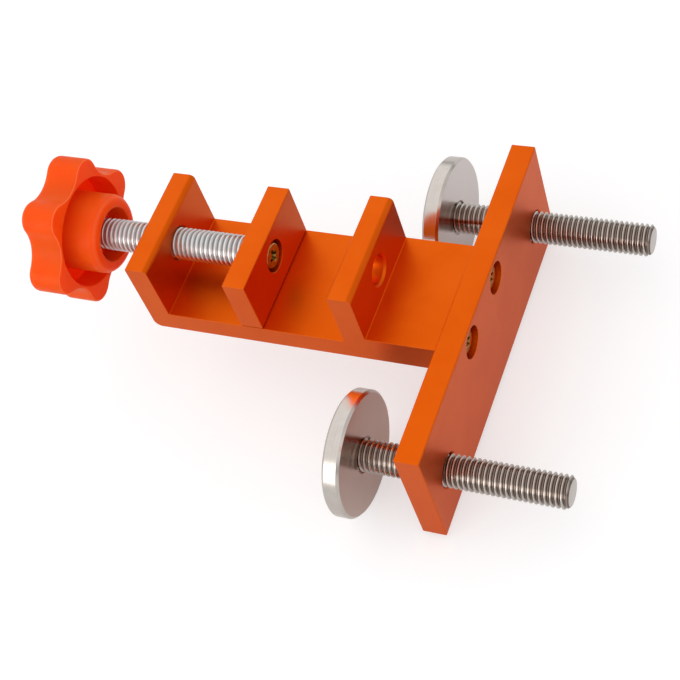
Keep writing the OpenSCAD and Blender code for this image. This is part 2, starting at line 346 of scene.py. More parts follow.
def hole(x0, x1, radius, axis_place=(0, 0), chamfer0=0, chamfer1=0):
    """A cutter for a hole along X through two faces, with a chamfer at either."""
    # A chamfer's slope runs on past its face, and an end without one runs on straight
    mouth0, mouth1 = (radius + chamfer + OVERRUN * bool(chamfer)
                      for chamfer in (chamfer0, chamfer1))
    return turned("hole", [
        (x0 - OVERRUN, 0), (x0 - OVERRUN, mouth0), (x0 + chamfer0, radius),
        (x1 - chamfer1, radius), (x1 + OVERRUN, mouth1), (x1 + OVERRUN, 0)], axis_place)


def counterbored_hole(x0, x1, web, radius, wide, chamfer, axis_place=(0, 0)):
    """A cutter for a hole along X with a wider part past its web."""
    return turned("hole", [
        (x0 - OVERRUN, 0), (x0 - OVERRUN, radius), (x0 + web, radius), (x0 + web, wide),
        (x1 - chamfer, wide), (x1 + OVERRUN, wide + chamfer + OVERRUN),
        (x1 + OVERRUN, 0)], axis_place)


def thread_stock(name, x0, x1, radius, depth, pitch, crest, axis_place=(0, 0), steps=40):
    """A rod with a right-hand thread of 60 degrees, cut square at both ends."""
    root = radius - depth
    crest_x = (pitch - crest) / 2
    root_x = crest_x - depth * tan(FLANK)
    profile = rounded([
        (0, root), (root_x, root, root_x), (crest_x, radius, crest / 2),
        (pitch - crest_x, radius, crest / 2), (pitch - root_x, root, root_x), (pitch, root)])
    turns = int((x1 - x0) / pitch) + 2 * SPARE_TURNS + 1
    piece = drawn_line(name, [Vector((x, r, 0)) for x, r in profile])
    apply_modifier(piece, "SCREW", axis="X", angle=2 * pi, screw_offset=pitch, iterations=turns,
                   steps=steps, render_steps=steps, use_merge_vertices=True,
                   merge_threshold=MERGE, use_smooth_shade=False)
    start = x0 - SPARE_TURNS * pitch
    with editing(piece):
        bpy.ops.mesh.remove_doubles(threshold=MERGE)
        bpy.ops.transform.translate(value=(start, *axis_place))
        for x, way in ((x0, -1), (x1, 1)):
            bpy.ops.mesh.select_all(action="SELECT")
            # The usual threshold is a seventh of a small screw's pitch, and would tear its thread
            bpy.ops.mesh.bisect(plane_co=(x, 0, 0), plane_no=(way, 0, 0), use_fill=True,
                                clear_outer=True, threshold=MERGE)
        bpy.ops.mesh.select_all(action="SELECT")
        bpy.ops.mesh.normals_make_consistent(inside=False)
    return piece


def threaded(name, envelope, radius, depth, pitch, crest, axis_place=(0, 0), steps=40):
    """A threaded rod cut to the turned envelope of corners."""
    xs = [corner[0] for corner in envelope]
    piece = thread_stock(name, min(xs) - pitch / 2, max(xs) + pitch / 2, radius, depth, pitch,
                         crest, axis_place, steps)
    combine(piece, turned("envelope", envelope, axis_place), "INTERSECT")
    smooth(piece, FINE_SHARP_ANGLE)
    return piece


# Materials

def add_node(tree, kind, inputs=None, **settings):
    """Adds a shader node. An input is a value, or the output that feeds it."""
    made = tree.nodes.new("ShaderNode" + kind)
    for name, value in settings.items():
        setattr(made, name, value)
    for name, value in (inputs or {}).items():
        if isinstance(value, bpy.types.NodeSocket):
            tree.links.new(value, made.inputs[name])
        else:
            made.inputs[name].default_value = value
    return made


def calc(tree, operation, first, second=0.0, third=0.0):
    inputs = {0: first, 1: second, 2: third}
    return add_node(tree, "Math", inputs, operation=operation).outputs[0]


def ramp(tree, value, start, end, low=0.0, high=1.0, **settings):
    """Carries a value from the range start to end over to the range low to high."""
    inputs = {"Value": value, "From Min": start, "From Max": end, "To Min": low, "To Max": high}
    return add_node(tree, "MapRange", inputs, **settings).outputs["Result"]


def spread(tree, mask, pair):
    """Turns a mask into the range between a pair of values."""
    return ramp(tree, mask, 0.0, 1.0, *pair)


def blend_colors(tree, share, first, second):
    """A colour between two, each a colour or the output that gives it."""
    colors = [value if isinstance(value, bpy.types.NodeSocket) else (*value, 1)
              for value in (first, second)]
    mixed = add_node(tree, "Mix", {0: share, 6: colors[0], 7: colors[1]}, data_type="RGBA")
    return mixed.outputs[2]


def tinted(tree, color, tone, mask, share):
    """A colour with a share of a tone laid over it where the mask is."""
    return blend_colors(tree, calc(tree, "MULTIPLY", mask, share), color, tone)


def noise(tree, place, size, **settings):
    """Noise with marks of about the given size."""
    inputs = {"Vector": place, "Scale": calc(tree, "DIVIDE", 1.0, size), **settings}
    return add_node(tree, "TexNoise", inputs).outputs["Fac"]


def radius_about_x(tree, place):
    """How far a place is from the X axis."""
    parts = add_node(tree, "SeparateXYZ", {0: place}).outputs
    flat = add_node(tree, "CombineXYZ", {1: parts[1], 2: parts[2]}).outputs[0]
    return add_node(tree, "VectorMath", {0: flat}, operation="LENGTH").outputs["Value"]


def facing_x(tree, normal="Normal"):
    """How far the surface faces along X, by its smooth or its true normal."""
    way = add_node(tree, "NewGeometry").outputs[normal]
    return add_node(tree, "SeparateXYZ", {0: way}).outputs["X"]


def new_group(name, **values):
    """An empty node group that turns a place and some values into a mask, and its two ends."""
    group = bpy.data.node_groups.new(name, "ShaderNodeTree")
    group.interface.new_socket(name="Vector", in_out="INPUT", socket_type="NodeSocketVector")
    for socket, value in values.items():
        made = group.interface.new_socket(name=socket, in_out="INPUT",
                                          socket_type="NodeSocketFloat")
        made.default_value = value
    group.interface.new_socket(name="Mask", in_out="OUTPUT", socket_type="NodeSocketFloat")
    given = group.nodes.new("NodeGroupInput").outputs
    return group, given, group.nodes.new("NodeGroupOutput").inputs["Mask"]


def make_grain_group():
    """Fine even grain, as of blasted aluminium, moulded plastic or plating."""
    group, given, mask = new_group("fine_grain", Size=0.2 * MM)
    grain = noise(group, given["Vector"], given["Size"], Detail=3.0, Roughness=0.6)
    group.links.new(grain, mask)
    return group


# The middle of a noise's range, which is stretched where the noise makes patches
PATCHY = (0.35, 0.65)
# How the drawn lines' noise is drawn out along X
DRAWN_OUT = (0.02, 1.0, 1.0)


def make_clouds_group():
    """Soft clouds, for uneven colour and for the marks of handling."""
    group, given, mask = new_group("clouds", Size=10 * MM)
    clouds = noise(group, given["Vector"], given["Size"], Detail=5.0, Roughness=0.55,
                   Distortion=0.6)
    group.links.new(ramp(group, clouds, *PATCHY), mask)
    return group


def make_lines_group():
    """Long fine lines along X, as an extruded bar keeps through its anodising."""
    group, given, mask = new_group("drawn_lines", Width=0.3 * MM)
    stretched = add_node(group, "VectorMath", {0: given["Vector"], 1: DRAWN_OUT},
                         operation="MULTIPLY").outputs[0]
    group.links.new(noise(group, stretched, given["Width"], Detail=2.0), mask)
    return group


def make_rings_group():
    """Turning marks: rings round an X axis on a face, and round a rim, by the same tool."""
    group, given, mask = new_group("turned_rings", Feed=0.3 * MM)
    along = add_node(group, "SeparateXYZ", {0: given["Vector"]}).outputs["X"]
    reach = calc(group, "ADD", radius_about_x(group, given["Vector"]), along)
    turns = calc(group, "DIVIDE", reach, given["Feed"])
    rings = add_node(group, "TexNoise", {"W": turns, "Scale": 1.0, "Detail": 3.0,
                                         "Roughness": 0.7}, noise_dimensions="1D")
    group.links.new(rings.outputs["Fac"], mask)
    return group


def make_edge_wear_and_highlight_group():
    """Edge wear and a painted highlight, where an edge is: the rounded normal leaves the true one.
    Broken up, as wear is.
    """
    group, given, mask = new_group("edge_wear_and_highlight", Reach=0.3 * MM, Size=3 * MM)
    softened = add_node(group, "Bevel", {"Radius": given["Reach"]}, samples=6).outputs["Normal"]
    own_normal = add_node(group, "NewGeometry").outputs["Normal"]
    agree = add_node(group, "VectorMath", {0: softened, 1: own_normal},
                     operation="DOT_PRODUCT").outputs["Value"]
    edge = ramp(group, agree, 1.0, 0.8)
    patches = noise(group, given["Vector"], given["Size"], Detail=4.0)
    broken = ramp(group, patches, *PATCHY, low=0.35)
    group.links.new(calc(group, "MULTIPLY", edge, broken), mask)
    return group


# How far a face looks along an X axis where it starts to count as square to it, and where
# it does in full
SQUARE_FROM = 0.9
SQUARE_FULL = 0.97


def make_root_shade_group():
    """Painted shade at the bottom of a thread about an X axis. Faces square to it get none."""
    group, given, mask = new_group("thread_root_shade", Root=3.2 * MM, Crest=3.9 * MM)
    deep = ramp(group, radius_about_x(group, given["Vector"]), given["Crest"], given["Root"],
                interpolation_type="SMOOTHSTEP")
    square_on = calc(group, "ABSOLUTE", facing_x(group, "True Normal"))
    side = ramp(group, square_on, SQUARE_FULL, SQUARE_FROM)
    group.links.new(calc(group, "MULTIPLY", deep, side), mask)
    return group


# The painted highlight, a light line on a rounded edge: how far the surface faces along X in its
# middle, how far from that the line ends and is full, and its strength within the inner radius
HIGHLIGHT_FACING = 0.72
HIGHLIGHT_END = 0.22
HIGHLIGHT_FULL = 0.08
HIGHLIGHT_INNER_SHARE = 0.35


def make_rim_highlight_group():
    """A painted highlight: the thin light line along a rounded front edge, within an inner radius
    and past an outer.
    """
    group, given, mask = new_group("painted_rim_highlight", Inner=HUB_R, Outer=13.85 * MM)
    off = calc(group, "ABSOLUTE", calc(group, "SUBTRACT", facing_x(group), HIGHLIGHT_FACING))
    line = ramp(group, off, HIGHLIGHT_END, HIGHLIGHT_FULL)
    radius = radius_about_x(group, given["Vector"])
    outside = calc(group, "GREATER_THAN", radius, given["Outer"])
    inside = calc(group, "LESS_THAN", radius, given["Inner"])
    where = calc(group, "ADD", outside, calc(group, "MULTIPLY", inside, HIGHLIGHT_INNER_SHARE))
    group.links.new(calc(group, "MULTIPLY", line, where), mask)
    return group


grain_group, clouds_group, lines_group = make_grain_group(), make_clouds_group(), make_lines_group()
rings_group, edge_wear_and_highlight_group, root_shade_group = make_rings_group(), make_edge_wear_and_highlight_group(), make_root_shade_group()
rim_highlight_group = make_rim_highlight_group()


def place_group(tree, group, vector, **values):
    """A shared effect in a material, with its own values. Gives its mask."""
    made = tree.nodes.new("ShaderNodeGroup")
    made.node_tree = group
    tree.links.new(vector, made.inputs["Vector"])
    for name, value in values.items():
        made.inputs[name].default_value = value
    return made.outputs["Mask"]


def start_material(name, centre=(0, 0, 0)):
    """A new material, its nodes, its shader, and the object coordinates about a centre."""
    material = bpy.data.materials.new(name)
    material.use_nodes = True
    tree = material.node_tree
    coordinates = add_node(tree, "TexCoord").outputs["Object"]
    shift = [-place for place in centre]
    centred = add_node(tree, "Mapping", {"Vector": coordinates, "Location": shift})
    return material, tree, tree.nodes["Principled BSDF"], centred.outputs["Vector"]


def add_bump(tree, shader, height, depth):
    bump = add_node(tree, "Bump", {"Height": height, "Distance": depth, "Strength": 1.0})
    tree.links.new(bump.outputs["Normal"], shader.inputs["Normal"])


# Colours, as shares of red, green and blue. Soft clouds blend those that come in a pair
ORANGE = (0.785, 0.110, 0.003), (0.82, 0.126, 0.005)
# Paler edges: partly wear, partly a painted highlight
ORANGE_EDGE_WEAR_AND_HIGHLIGHT = (0.95, 0.34, 0.10)
PLASTIC = (0.985, 0.091, 0.005), (1.0, 0.101, 0.007)
# Lighter edges on the knob: a painted highlight
PLASTIC_EDGE_HIGHLIGHT = (1.0, 0.27, 0.09)
# The colour of the painted highlight line on the knob's rounded front edges
PLASTIC_HIGHLIGHT = (1.0, 0.34, 0.15)
# Painted glow: red light given as emission, though the knob is no lamp, weak on faces that look
# back along X and full on faces that look ahead
PLASTIC_PAINTED_GLOW = (0.12, 0.001, 0), (1.0, 0.008, 0)


def anodised(name):
    """Orange anodised aluminium: satin, even, a little paler along its edges, partly from wear and
    partly as a painted highlight.
    """
    material, tree, shader, place = start_material(name)
    clouds = place_group(tree, clouds_group, place, Size=14 * MM)
    grain = place_group(tree, grain_group, place, Size=0.12 * MM)
    lines = place_group(tree, lines_group, place, Width=0.25 * MM)
    # Paler edges, partly wear and partly a painted highlight
    edge = place_group(tree, edge_wear_and_highlight_group, place, Reach=0.22 * MM, Size=4 * MM)
    color = blend_colors(tree, clouds, *ORANGE)
    color = tinted(tree, color, ORANGE_EDGE_WEAR_AND_HIGHLIGHT, edge, share=0.5)
    tree.links.new(color, shader.inputs["Base Color"])
    shader.inputs["Metallic"].default_value = 1
    rough = calc(tree, "ADD", spread(tree, grain, (0.33, 0.45)), spread(tree, lines, (-0.02, 0.03)))
    tree.links.new(rough, shader.inputs["Roughness"])
    height = calc(tree, "ADD", grain, calc(tree, "MULTIPLY", lines, 0.6))
    add_bump(tree, shader, height, depth=0.0012 * MM)
    return material


def moulded(name):
    """Orange-red plastic with a little light in its depth, a painted red glow and painted
    highlights along its edges.
    """
    material, tree, shader, place = start_material(name)
    clouds = place_group(tree, clouds_group, place, Size=12 * MM)
    grain = place_group(tree, grain_group, place, Size=0.25 * MM)
    # Lighter edges: a painted highlight
    edge = place_group(tree, edge_wear_and_highlight_group, place, Reach=0.35 * MM, Size=6 * MM)
    # A painted highlight: a thin light line on the rounded front edges
    line = place_group(tree, rim_highlight_group, place)
    color = blend_colors(tree, clouds, *PLASTIC)
    color = tinted(tree, color, PLASTIC_EDGE_HIGHLIGHT, edge, share=0.75)
    color = tinted(tree, color, PLASTIC_HIGHLIGHT, line, share=0.45)
    tree.links.new(color, shader.inputs["Base Color"])
    shader.inputs["Specular IOR Level"].default_value = 0.08
    # Painted glow: subsurface alone gives too little of the red light on such a pigment's front
    # faces, so emission adds it
    ahead = ramp(tree, facing_x(tree), 0.1, 0.9)
    painted_glow = blend_colors(tree, ahead, *PLASTIC_PAINTED_GLOW)
    tree.links.new(painted_glow, shader.inputs["Emission Color"])
    shader.inputs["Emission Strength"].default_value = 0.15
    shader.inputs["Subsurface Weight"].default_value = 0.8
    shader.inputs["Subsurface Radius"].default_value = (1.0, 0.15, 0.05)
    shader.inputs["Subsurface Scale"].default_value = 6 * MM
    tree.links.new(spread(tree, grain, (0.28, 0.40)), shader.inputs["Roughness"])
    add_bump(tree, shader, grain, depth=0.004 * MM)
    return material


def paint_root_shade(tree, place, color, root, crest, shade_color):
    """The colour of a threaded piece, with painted shade darker towards the bottom of its thread.
    """
    shade_mask = place_group(tree, root_shade_group, place, Root=root, Crest=crest)
    return tinted(tree, color, shade_color, shade_mask, share=0.85)


def turned_metal(name, centre, dark, light, rough, depth, feed, root_shade=None, face=None):
    """A metal turned about an X axis through a centre. Its flat faces may have a tone of painted
    light.
    """
    material, tree, shader, place = start_material(name, centre)
    rings = place_group(tree, rings_group, place, Feed=feed)
    clouds = place_group(tree, clouds_group, place, Size=5 * MM)
    grain = place_group(tree, grain_group, place, Size=0.15 * MM)
    mark = calc(tree, "MULTIPLY_ADD", clouds, 0.5, calc(tree, "MULTIPLY", rings, 0.5))
    color = blend_colors(tree, mark, dark, light)
    if root_shade:
        # Painted shade in the thread's roots
        color = paint_root_shade(tree, place, color, *root_shade)
    # A tone of painted light, shade and reflection on the flat faces
    if face:
        square_on = calc(tree, "ABSOLUTE", facing_x(tree, "True Normal"))
        flat = ramp(tree, square_on, SQUARE_FROM, SQUARE_FULL)
        color = tinted(tree, color, face, flat, share=0.75)
    tree.links.new(color, shader.inputs["Base Color"])
    shader.inputs["Metallic"].default_value = 1
    wear = calc(tree, "MULTIPLY_ADD", grain, 0.4, calc(tree, "MULTIPLY", rings, 0.6))
    tree.links.new(spread(tree, wear, rough), shader.inputs["Roughness"])
    add_bump(tree, shader, rings, depth)
    return material


def plated(name, centre, dark, light, tint, rough, root_shade):
    """Zinc plating: a mottled metal colour with a passing tint."""
    material, tree, shader, place = start_material(name, centre)
    clouds = place_group(tree, clouds_group, place, Size=2.2 * MM)
    grain = place_group(tree, grain_group, place, Size=0.1 * MM)
    tints = place_group(tree, clouds_group, place, Size=1.1 * MM)
    color = blend_colors(tree, clouds, dark, light)
    color = tinted(tree, color, tint, tints, share=0.3)
    # Painted shade in the thread's roots
    color = paint_root_shade(tree, place, color, *root_shade)
    tree.links.new(color, shader.inputs["Base Color"])
    shader.inputs["Metallic"].default_value = 1
    tree.links.new(spread(tree, grain, rough), shader.inputs["Roughness"])
    add_bump(tree, shader, grain, depth=0.002 * MM)
    return material


# Metals. The painted shade in the roots of a thread is given by the radius where it is darkest, the
# radius where it ends, and its colour
STAINLESS = {
    "dark": (0.60, 0.54, 0.49), "light": (0.70, 0.655, 0.61), "rough": (0.14, 0.26),
    "depth": 0.0012 * MM, "feed": 0.45 * MM}
INSERT_BRASS = {
    "dark": (0.50, 0.32, 0.11), "light": (0.66, 0.46, 0.19), "rough": (0.28, 0.42),
    "depth": 0.004 * MM, "feed": 0.4 * MM}
YELLOW_ZINC = {
    "dark": (0.40, 0.24, 0.055), "light": (0.56, 0.37, 0.11), "tint": (0.46, 0.38, 0.18),
    "rough": (0.22, 0.34), "root_shade": (1.55 * MM, SCREW_SHANK_R, (0.20, 0.12, 0.03))}
BRIGHT_ZINC = {
    "dark": (0.66, 0.66, 0.655), "light": (0.74, 0.745, 0.74), "tint": (0.68, 0.70, 0.71),
    "rough": (0.24, 0.34),
    "root_shade": (THREAD_R - SPINDLE_DEPTH, THREAD_R - 0.4 * SPINDLE_DEPTH, (0.26, 0.25, 0.24))}
STUD_ROOT_SHADE = (THREAD_R - THREAD_DEPTH, THREAD_R - 0.1 * THREAD_DEPTH, (0.12, 0.072, 0.052))
# Painted light on the discs' flat faces: in the photograph the near disc's face is browner, painted
# shade and reflected orange, and the far disc's paler, a painted lighter tone
DISC_FACE_PAINTED_LIGHT = {"near_disc": (0.62, 0.44, 0.375), "far_disc": (0.79, 0.71, 0.69)}

node_slots = {part["node"]: part["material_slot"] for part in record["subparts"]}
node_bodies = {node: body for body, nodes in record["behaviour"]["bodies"].items()
               for node in nodes}
shared_finishes = {"anodised": anodised("orange_anodised"), "knob_plastic": moulded("knob_plastic")}


def finish_for(node):
    """The material of a node's slot. What was turned or plated has it centred on the piece."""
    slot = node_slots[node]
    if slot in shared_finishes:
        return shared_finishes[slot]
    centre = sum(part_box(node), Vector()) / 2
    if slot == "yellow_zinc":
        return plated(node + "_zinc", centre, **YELLOW_ZINC)
    if slot == "bright_zinc":
        return plated(node + "_zinc", centre, **BRIGHT_ZINC)
    if slot == "insert_brass":
        return turned_metal(node + "_brass", centre, **INSERT_BRASS)
    # Studs get painted shade in their thread roots
    root_shade = STUD_ROOT_SHADE if node.endswith("stud") else None
    return turned_metal(node + "_stainless", centre, **STAINLESS, root_shade=root_shade,
                        face=DISC_FACE_PAINTED_LIGHT.get(node))


def dress(piece, node):
    """Gives a finished piece its node's finish and lets it stand for the node."""
    piece.data.materials.clear()
    piece.data.materials.append(finish_for(node))
    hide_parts(node)
    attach(piece, node_bodies[node])


# Clamp body and jaw

def axis_of(node):
    """Where a node's own axis along X passes, as its y and z."""
    low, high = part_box(node)
    return (low.y + high.y) / 2, (low.z + high.z) / 2


def make_clamp_body():
    low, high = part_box("clamp_body")
    floor_z = low.z + FLOOR_T
    seat_z = floor_z + SEAT_STEP
    end_wall_x = low.x + WALL_T
    fixed_wall_x, seat_x = 0, WALL_T
    piece = bar("clamp_body_milled", low, Vector((high.x, high.y, floor_z)))
    with editing(piece):
        for x in (end_wall_x, fixed_wall_x, seat_x):
            bpy.ops.mesh.select_all(action="SELECT")
            bpy.ops.mesh.bisect(plane_co=(x, 0, 0), plane_no=(1, 0, 0))
        raise_faces(piece, floor_z, fixed_wall_x, high.x, SEAT_STEP)
        raise_faces(piece, seat_z, fixed_wall_x, seat_x, high.z - seat_z)
        raise_faces(piece, floor_z, low.x, end_wall_x, high.z - floor_z)
        bpy.ops.mesh.select_all(action="SELECT")
        bpy.ops.mesh.remove_doubles(threshold=MERGE)
        bpy.ops.mesh.dissolve_limited(angle_limit=radians(1))
        bevel(piece, at(x=low.x, z=low.z), HEEL_ROUND, segments=10)
        for x in (end_wall_x, seat_x):
            bevel(piece, at(x=x, z=high.z), WALL_BACK_ROUND, segments=8)
        for x in (low.x, fixed_wall_x):
            bevel(piece, at(x=x, z=high.z), WALL_TOP_ROUND, segments=4)
        for x, z in ((end_wall_x, floor_z), (fixed_wall_x, floor_z), (seat_x, seat_z)):
            bevel(piece, at(x=x, z=z), ROOT_FILLET, segments=4)
        for y in (low.y, high.y):
            bevel(piece, at(y=y), EDGE_BREAK, segments=2)
    cut(piece, hole(low.x, end_wall_x, THREAD_HOLE_R, chamfer0=THREAD_HOLE_CHAMFER,
                    chamfer1=THREAD_HOLE_CHAMFER))
    cut(piece, hole(fixed_wall_x, seat_x, DRIVER_HOLE_R, chamfer0=EDGE_BREAK,
                    chamfer1=DRIVER_HOLE_CHAMFER))
    for node in ("plate_screw_near", "plate_screw_far"):
        cut(piece, hole(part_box(node)[0].x, high.x, TAP_R, axis_of(node)))
    smooth(piece)
    dress(piece, "clamp_body")


def milled_block(name, low, high):
    """A bar with both faces along X chamfered and the edges between them broken."""
    piece = bar(name, low, high)
    with editing(piece):
        for x in (low.x, high.x):
            bevel(piece, at(x=x), FACE_CHAMFER, segments=2)
        sides = [at(y=low.y), at(y=high.y), at(z=low.z), at(z=high.z)]
        # The long edges where two sides meet, not the chamfers' short ones at the corners
        bevel(piece, lambda edge: edge.calc_length() > 4 * FACE_CHAMFER
              and sum(side(edge) for side in sides) == 2, EDGE_BREAK, segments=2)
    return piece


def make_cross_plate():
    low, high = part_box("cross_plate")
    piece = milled_block("cross_plate_milled", low, high)
    for node in ("near_stud", "far_stud"):
        cut(piece, hole(low.x, high.x, THREAD_HOLE_R, axis_of(node),
                        THREAD_HOLE_CHAMFER, THREAD_HOLE_CHAMFER))
    for node in ("plate_screw_near", "plate_screw_far"):
        cut(piece, counterbored_hole(low.x, high.x, PLATE_WEB_T, SCREW_PASS_R, PLATE_CBORE_R,
                                     CBORE_CHAMFER, axis_of(node)))
    smooth(piece)
    dress(piece, "cross_plate")


def make_movable_jaw():
    low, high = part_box("movable_jaw")
    low.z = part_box("clamp_body")[0].z + FLOOR_T + JAW_FLOOR_GAP
    piece = milled_block("movable_jaw_milled", low, high)
    cut(piece, counterbored_hole(low.x, high.x, JAW_WEB_T, JOURNAL_BORE_R, JAW_CBORE_R,
                                 JAW_CBORE_CHAMFER))
    smooth(piece)
    dress(piece, "movable_jaw")


# Threaded rods

def make_spindle():
    low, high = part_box("spindle")
    shoulder = high.x - JOURNAL_LEN
    bore_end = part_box("jaw_screw")[0].x
    piece = threaded("spindle_rod", [
        (low.x, 0), (low.x, THREAD_R - END_CHAMFER),
        (low.x + 2 * END_CHAMFER, THREAD_R + END_CHAMFER),
        (shoulder - 2 * SHOULDER_CHAMFER, THREAD_R + SHOULDER_CHAMFER),
        (shoulder, THREAD_R - SHOULDER_CHAMFER), (shoulder, JOURNAL_R), (high.x, JOURNAL_R),
        (high.x, TAP_R), (bore_end, TAP_R), (bore_end, 0)],
        THREAD_R, SPINDLE_DEPTH, PITCH, SPINDLE_CREST)
    dress(piece, "spindle")


def make_studs():
    low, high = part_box("near_stud")
    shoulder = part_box("near_disc")[1].x - DISC_RECESS_DEPTH
    near = threaded("near_stud_rod", [
        (low.x, 0), (low.x, JOURNAL_R), (shoulder, JOURNAL_R),
        (shoulder, THREAD_R - SHOULDER_CHAMFER),
        (shoulder + 2 * SHOULDER_CHAMFER, THREAD_R + SHOULDER_CHAMFER),
        (high.x - 2 * END_CHAMFER, THREAD_R + END_CHAMFER), (high.x, THREAD_R - END_CHAMFER),
        (high.x, 0)],
        THREAD_R, THREAD_DEPTH, PITCH, STUD_CREST, axis_of("near_stud"))
    far = copied(near, "far_stud_rod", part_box("far_stud")[0] - low)
    dress(near, "near_stud")
    dress(far, "far_stud")


def make_discs():
    low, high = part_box("near_disc")
    # A hair inside the frame's box
    radius = (high.y - low.y) / 2 - TOUCH
    floor_x = high.x - DISC_RECESS_DEPTH
    near = turned("near_disc_turned", [
        (low.x, JOURNAL_BORE_R),
        (low.x, radius - DISC_CHAMFER, DISC_EDGE_ROUND),
        (low.x + DISC_CHAMFER, radius, DISC_EDGE_ROUND),
        (high.x - DISC_CHAMFER, radius, DISC_EDGE_ROUND),
        (high.x, radius - DISC_CHAMFER, DISC_EDGE_ROUND),
        (high.x, DISC_RECESS_R, DISC_EDGE_ROUND),
        (floor_x, DISC_RECESS_R), (floor_x, JOURNAL_BORE_R)],
        axis_of("near_disc"), closed=True, steps=144)
    smooth(near)
    far = copied(near, "far_disc_turned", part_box("far_disc")[0] - low)
    dress(near, "near_disc")
    dress(far, "far_disc")


# Small screws

def make_small_screw(node):
    low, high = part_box(node)
    place = axis_of(node)
    seat = high.x - SCREW_HEAD_H
    # The thread runs a little way into the head, so that the two have no face in one plane
    shank = thread_stock(node + "_cross_head", low.x, seat + SHANK_SUNK, SCREW_SHANK_R,
                         SCREW_THREAD_DEPTH, SCREW_PITCH, SCREW_CREST, place, steps=24)
    head = turned("head", [
        (seat, 0), (seat, SCREW_HEAD_R, SCREW_SEAT_ROUND),
        (seat + SCREW_HEAD_H / 2, SCREW_HEAD_R, SHOULDER_ROUND),
        (high.x, CROWN_R, CROWN_ROUND), (high.x, 0)], place)
    with editing(head):
        pick(head, "faces", at(x=high.x))
        bpy.ops.mesh.dissolve_faces()
    for turn in (0, pi / 2):
        wing = bar("wing", Vector((high.x - CROSS_DEPTH, -CROSS_W / 2, -CROSS_LEN / 2)),
                   Vector((high.x + OVERRUN, CROSS_W / 2, CROSS_LEN / 2)))
        with editing(wing):
            pick(wing, "faces", at(x=high.x - CROSS_DEPTH))
            bpy.ops.transform.resize(value=(1, CROSS_FLOOR_W, CROSS_FLOOR_LEN))
        wing.data.transform(Matrix.Translation((0, *place)) @ Matrix.Rotation(turn, 4, "X"))
        cut(head, wing)
    cut(head, turned("core", [
        (high.x + OVERRUN, 0), (high.x + OVERRUN, CROSS_CORE_R + OVERRUN / 2),
        (high.x, CROSS_CORE_R),
        (high.x - CROSS_DEPTH - CROSS_CORE_END_R, CROSS_CORE_END_R),
        (high.x - CROSS_DEPTH - 2 * CROSS_CORE_END_R, 0)], place, steps=32))
    combine(shank, head, "UNION")
    smooth(shank, FINE_SHARP_ANGLE)
    dress(shank, node)


def make_jaw_washer():
    low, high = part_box("jaw_washer")
    radius = JAW_CBORE_R - WASHER_GAP
    piece = turned("jaw_washer_ring", [
        (low.x, TAP_R), (low.x, radius, WASHER_ROUND), (high.x, radius, WASHER_ROUND),
        (high.x, TAP_R)], closed=True)
    smooth(piece)
    dress(piece, "jaw_washer")


# Knob

def star(name, back_x):
    """The knob's star: a polygon whose corners are rounded into lobes and valleys."""
    lobe_centre = LOBE_TIP_R - LOBE_R
    step = pi / LOBES
    valley_reach = lobe_centre * cos(step)
    valley_round = ((lobe_centre ** 2 + VALLEY_R ** 2 - 2 * VALLEY_R * valley_reach - LOBE_R ** 2)
                    / (2 * (LOBE_R + valley_reach - VALLEY_R)))
    lobe = Vector((lobe_centre, 0))
    valley = Vector((cos(step), sin(step))) * (VALLEY_R + valley_round)
    along = (valley - lobe).normalized()
    meet = lobe + along * LOBE_R
    # The straight side between a lobe and a valley is square to the line of their centres
    tip = meet.dot(along) / along.x
    dip = meet.dot(along) / along.dot(valley.normalized())
    corners = []
    for lobe_index in range(LOBES):
        for reach, turn, corner_round in ((tip, 2 * lobe_index, LOBE_R),
                                          (dip, 2 * lobe_index + 1, valley_round)):
            corners.append((reach * cos(turn * step), reach * sin(turn * step), corner_round))
    outline = rounded(corners, closed=True, steps=14)
    piece = drawn_line(name, [Vector((back_x, y, z)) for y, z in outline])
    with editing(piece):
        bpy.ops.mesh.remove_doubles(threshold=TOUCH)
        bpy.ops.mesh.select_all(action="SELECT")
        bpy.ops.mesh.edge_face_add()
        bpy.ops.mesh.extrude_region_move(TRANSFORM_OT_translate={"value": (STAR_T, 0, 0)})
        bpy.ops.mesh.select_all(action="SELECT")
        bpy.ops.mesh.normals_make_consistent(inside=False)
        bevel(piece, at(x=back_x), STAR_BACK_ROUND, segments=8)
        bevel(piece, at(x=back_x + STAR_T), STAR_FRONT_ROUND, segments=4)
    return piece


def make_knob():
    low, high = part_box("knob")
    front_x = low.x + STAR_T
    floor_x = low.x + KNOB_BACK_T
    recess_x = high.x - HUB_RECESS_DEPTH
    piece = star("knob_star", low.x)
    mouth_r = GROOVE_R + 2 * GROOVE_MOUTH_ROUND
    cut(piece, turned("groove", [
        (floor_x, 0), (floor_x, GROOVE_R, GROOVE_ROOT_FILLET),
        (front_x, GROOVE_R, GROOVE_MOUTH_ROUND), (front_x, mouth_r),
        (front_x + OVERRUN, mouth_r), (front_x + OVERRUN, 0)]))
    dish_x = low.x + BACK_DISH_DEPTH
    cut(piece, turned("dish", [
        (low.x - OVERRUN, 0), (low.x - OVERRUN, BACK_DISH_R + BACK_DISH_DEPTH),
        (low.x, BACK_DISH_R + BACK_DISH_DEPTH), (dish_x, BACK_DISH_R - BACK_DISH_DEPTH),
        (dish_x, 0)]))
    foot_r = HUB_R + HUB_FOOT_REACH
    combine(piece, turned("hub", [
        (floor_x - OVERRUN, INSERT_R), (floor_x - OVERRUN, foot_r), (floor_x, foot_r),
        (floor_x, HUB_R, HUB_FOOT_FILLET),
        (high.x, HUB_R, HUB_ROUND), (high.x, HUB_RECESS_R, HUB_RECESS_ROUND),
        (recess_x, HUB_RECESS_R), (recess_x, INSERT_R)], closed=True), "UNION")
    smooth(piece, FINE_SHARP_ANGLE)
    dress(piece, "knob")


